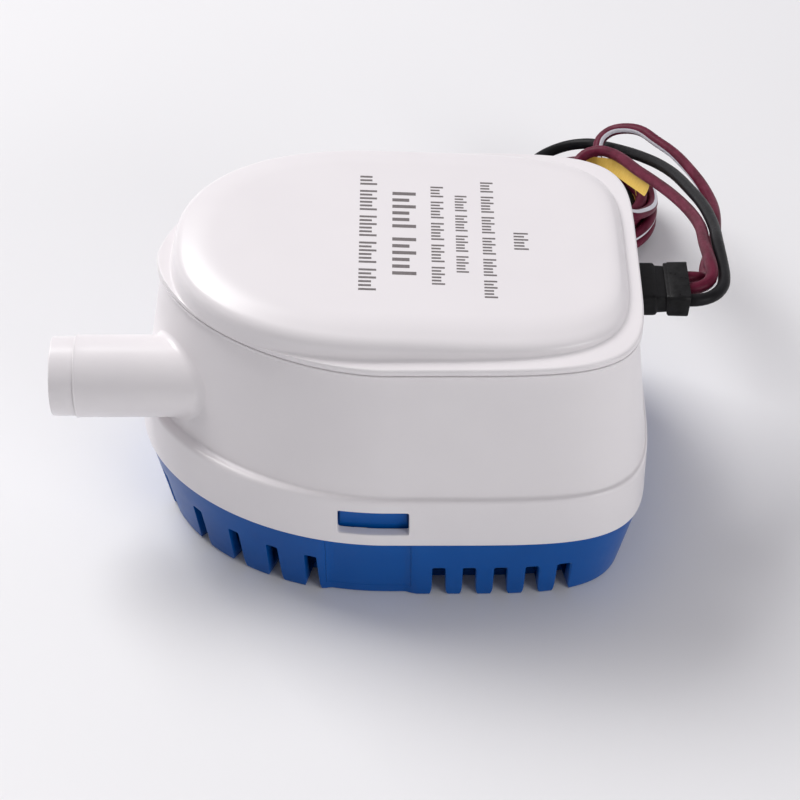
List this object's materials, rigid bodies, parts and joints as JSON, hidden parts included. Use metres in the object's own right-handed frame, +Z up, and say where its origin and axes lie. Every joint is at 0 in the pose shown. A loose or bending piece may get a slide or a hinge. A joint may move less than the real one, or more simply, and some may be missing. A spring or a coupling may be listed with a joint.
{
  "type": "bilge pump",
  "caption": "Automatic submersible bilge pump: strainer base, clip-on housing with side hose spigot, float switch and coiled leads.",
  "frame": {"origin": "centre of the pump's own box (without the leads, boot and tape) on the floor plane, under the base", "axes": "+Z up out of the lid; the hose spigot points along -X; the leads leave at +X; the front with the nearer latch faces -Y"},
  "size_m": [0.1758, 0.178, 0.0811],
  "materials": {
    "white_plastic": "satin moulded, slightly cool white",
    "blue_plastic": "satin moulded royal blue",
    "black_plastic": "moulded",
    "black_rubber": "matte",
    "steel": "bright",
    "dark_iron": "dark, fine grained",
    "brass": "turned",
    "copper": "enamelled copper",
    "float_foam": "closed-cell float",
    "circuit_board": "solder mask",
    "reed_glass": "clear",
    "red_pvc": "wine red lead insulation",
    "black_pvc": "black lead insulation and tape",
    "yellow_tag": "blank paper flag"
  },
  "bodies": {
    "base": {"strainer_base": "blue_plastic", "lead_coil": "red_pvc", "lead_tag": "yellow_tag"},
    "latch_front": {"latch_tab_front": "blue_plastic"},
    "latch_rear": {"latch_tab_rear": "blue_plastic"},
    "pump": {"housing": "white_plastic", "top_cover": "white_plastic", "intake_plate": "white_plastic", "float_bracket": "white_plastic", "motor_end_cap": "black_plastic", "thrust_washer": "black_plastic", "relay": "black_plastic", "cover_seal": "black_rubber", "shaft_seal": "black_rubber", "cable_gland": "black_rubber", "cable_boot": "black_rubber", "volute_screw_1": "steel", "volute_screw_2": "steel", "volute_screw_3": "steel", "motor_can": "steel", "brush_spring_left": "steel", "brush_spring_right": "steel", "motor_strap": "steel", "motor_screw_1": "steel", "motor_screw_2": "steel", "float_pin": "steel", "bracket_screw": "steel", "board_screw_1": "steel", "board_screw_2": "steel", "field_magnet_left": "dark_iron", "field_magnet_right": "dark_iron", "brush_left": "dark_iron", "brush_right": "dark_iron", "lower_bush": "brass", "upper_bush": "brass", "switch_board": "circuit_board", "reed_switch": "reed_glass", "motor_lead_positive": "red_pvc", "switch_lead": "red_pvc", "lead_red_upper": "red_pvc", "lead_red_lower": "red_pvc", "motor_lead_negative": "black_pvc", "lead_black": "black_pvc", "boot_tape": "black_pvc"},
    "rotor": {"impeller": "black_plastic", "motor_shaft": "steel", "armature_core": "dark_iron", "armature_windings": "copper", "commutator": "copper"},
    "float": {"float": "float_foam", "float_arm": "black_plastic", "float_magnet": "dark_iron"}
  },
  "joints": [
    {"name": "pump_lift", "type": "slide", "parent": "base", "child": "pump", "axis": [0, 0, 1], "range_m": [0, 0.011]},
    {"name": "latch_front_flex", "type": "hinge", "parent": "base", "child": "latch_front", "pos_m": [0.0042, -0.0432, 0.004], "axis": [-1, 0, 0], "range_deg": [0, 7]},
    {"name": "latch_rear_flex", "type": "hinge", "parent": "base", "child": "latch_rear", "pos_m": [0.0042, 0.0432, 0.004], "axis": [1, 0, 0], "range_deg": [0, 7]},
    {"name": "rotor_spin", "type": "hinge", "parent": "pump", "child": "rotor", "pos_m": [-0.006, 0, 0.05], "axis": [0, 0, 1], "continuous": true},
    {"name": "float_swing", "type": "hinge", "parent": "pump", "child": "float", "pos_m": [0.026, 0, 0.024], "axis": [0, -1, 0], "range_deg": [0, 25]}
  ],
  "couplings": [
    {"joint": "latch_front_flex", "follows": "pump_lift", "rad_per_m": 11.1},
    {"joint": "latch_rear_flex", "follows": "pump_lift", "rad_per_m": 11.1}
  ]
}
